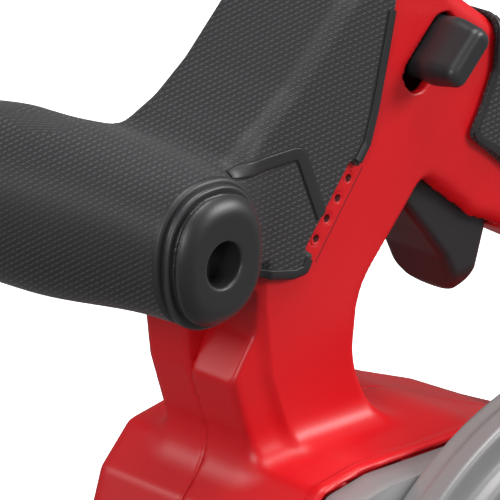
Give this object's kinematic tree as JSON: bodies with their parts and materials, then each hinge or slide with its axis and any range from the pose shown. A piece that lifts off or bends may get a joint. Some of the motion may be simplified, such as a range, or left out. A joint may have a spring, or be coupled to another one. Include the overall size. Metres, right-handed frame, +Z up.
{
  "type": "cordless circular saw",
  "caption": "Battery circular saw with its blade on the left, a two-handed grip, a swinging lower guard and a shoe that sets cutting depth and bevel.",
  "frame": {"origin": "on the shoe's underside, straight below the arbor's axis and on the plane where the two handle shells meet", "axes": "+X to the rear of the saw, -Y to the blade side, +Z up from the shoe"},
  "size_m": [0.303, 0.167, 0.2916],
  "materials": {
    "red_shell": "moulded satin red nylon",
    "black_plastic": "moulded black nylon",
    "soft_grip": "textured soft overmould",
    "casting": "satin grey painted magnesium",
    "shoe_metal": "pressed and anodised",
    "bright_steel": "ground",
    "dark_steel": "blackened",
    "copper": "wound and varnished",
    "circuit": "solder mask",
    "cell_wrap": "shrink sleeve",
    "clear": "moulded lens"
  },
  "bodies": {
    "housing": {"left_shell": "red_shell", "right_shell": "red_shell", "shell_screw_1": "dark_steel", "shell_screw_2": "dark_steel", "shell_screw_3": "dark_steel", "front_grip": "soft_grip", "grip_cap_left": "black_plastic", "grip_cap_right": "black_plastic", "grip_screw": "dark_steel", "rear_grip": "soft_grip", "trigger_pin": "bright_steel", "switch_box": "black_plastic", "switch_plunger": "copper", "gear_case": "casting", "bearing_plate": "casting", "spindle_bearing_front": "bright_steel", "spindle_bearing_rear": "bright_steel", "motor_bearing_front": "bright_steel", "motor_bearing_rear": "bright_steel", "motor_stator": "copper", "control_board": "circuit", "motor_end_cover": "black_plastic", "upper_guard": "casting", "guard_spring": "bright_steel", "depth_bolt": "dark_steel", "battery_rail": "black_plastic", "key_clip": "soft_grip", "lamp_lens": "clear"},
    "trigger": {"trigger": "black_plastic"},
    "lock_off": {"lock_off_lever": "black_plastic"},
    "motor": {"motor_rotor": "dark_steel", "motor_shaft": "bright_steel", "pinion": "bright_steel", "cooling_fan": "black_plastic"},
    "arbor": {"spindle": "bright_steel", "driven_gear": "bright_steel", "inner_flange": "dark_steel", "outer_flange": "dark_steel", "blade_screw": "dark_steel", "saw_blade": "bright_steel"},
    "lower_guard": {"lower_guard": "casting", "guard_lever": "black_plastic"},
    "spindle_lock": {"spindle_lock_button": "black_plastic"},
    "carriage": {"front_post": "bright_steel", "rear_post": "bright_steel", "carriage_rail": "casting", "bevel_pin_front": "dark_steel", "bevel_pin_rear": "dark_steel", "bevel_bolt": "dark_steel"},
    "shoe": {"shoe": "shoe_metal"},
    "fence_screw": {"fence_screw": "dark_steel"},
    "bevel_lever": {"bevel_lever": "black_plastic"},
    "depth_lever": {"depth_lever": "black_plastic"},
    "battery": {"battery_case": "black_plastic", "battery_lid": "black_plastic", "battery_cells": "cell_wrap"},
    "latch_left": {"latch_left": "red_shell"},
    "latch_right": {"latch_right": "red_shell"},
    "charge_button": {"charge_button": "soft_grip"},
    "hex_key": {"hex_key": "dark_steel"}
  },
  "joints": [
    {"name": "trigger_pull", "type": "hinge", "parent": "housing", "child": "trigger", "pos_m": [-0.015, 0, 0.236], "axis": [0, -1, 0], "range_deg": [0, 8], "stiffness_Nm_per_rad": 1, "springref_deg": -5.73},
    {"name": "lock_off_press", "type": "slide", "parent": "housing", "child": "lock_off", "axis": [-0.7314, 0, -0.682], "range_m": [0, 0.003], "stiffness_N_per_m": 600, "springref_m": -0.001},
    {"name": "blade_spin", "type": "hinge", "parent": "housing", "child": "arbor", "pos_m": [0, -0.056, 0.093], "axis": [0, 1, 0], "continuous": true},
    {"name": "motor_spin", "type": "hinge", "parent": "housing", "child": "motor", "pos_m": [-0.018, 0, 0.10382], "axis": [0, 1, 0], "continuous": true},
    {"name": "lower_guard_swing", "type": "hinge", "parent": "housing", "child": "lower_guard", "pos_m": [0, -0.056, 0.093], "axis": [0, -1, 0], "range_deg": [0, 106], "stiffness_Nm_per_rad": 0.25, "springref_deg": -34.38},
    {"name": "spindle_lock_press", "type": "slide", "parent": "housing", "child": "spindle_lock", "axis": [1, 0, 0], "range_m": [0, 0.002], "stiffness_N_per_m": 500, "springref_m": -0.001},
    {"name": "depth_slide", "type": "slide", "parent": "housing", "child": "carriage", "axis": [0, 0, 1], "range_m": [0, 0.0605]},
    {"name": "bevel_tilt", "type": "hinge", "parent": "carriage", "child": "shoe", "pos_m": [0, -0.056, 0.008], "axis": [-1, 0, 0], "range_deg": [0, 45]},
    {"name": "bevel_lever_turn", "type": "hinge", "parent": "carriage", "child": "bevel_lever", "pos_m": [-0.124, -0.038, 0.03918], "axis": [1, 0, 0], "range_deg": [0, 60]},
    {"name": "depth_lever_turn", "type": "hinge", "parent": "housing", "child": "depth_lever", "pos_m": [0.102, -0.054, 0.088], "axis": [0, -1, 0], "range_deg": [0, 60]},
    {"name": "fence_screw_turn", "type": "hinge", "parent": "shoe", "child": "fence_screw", "pos_m": [-0.128, -0.02, 0.008], "axis": [0, 0, 1], "range_deg": [0, 360]},
    {"name": "battery_slide", "type": "slide", "parent": "housing", "child": "battery", "axis": [1, 0, 0], "range_m": [0, 0.11]},
    {"name": "latch_left_press", "type": "slide", "parent": "battery", "child": "latch_left", "axis": [0, 1, 0], "range_m": [0, 0.0025], "stiffness_N_per_m": 500, "springref_m": -0.001},
    {"name": "latch_right_press", "type": "slide", "parent": "battery", "child": "latch_right", "axis": [0, -1, 0], "range_m": [0, 0.0025], "stiffness_N_per_m": 500, "springref_m": -0.001},
    {"name": "charge_button_press", "type": "slide", "parent": "battery", "child": "charge_button", "axis": [-1, 0, 0], "range_m": [0, 0.001], "stiffness_N_per_m": 400, "springref_m": -0.001},
    {"name": "hex_key_pull", "type": "slide", "parent": "housing", "child": "hex_key", "axis": [1, 0, 0], "range_m": [0, 0.06]}
  ],
  "couplings": [
    {"joint": "motor_spin", "follows": "blade_spin", "ratio": -3.2}
  ]
}
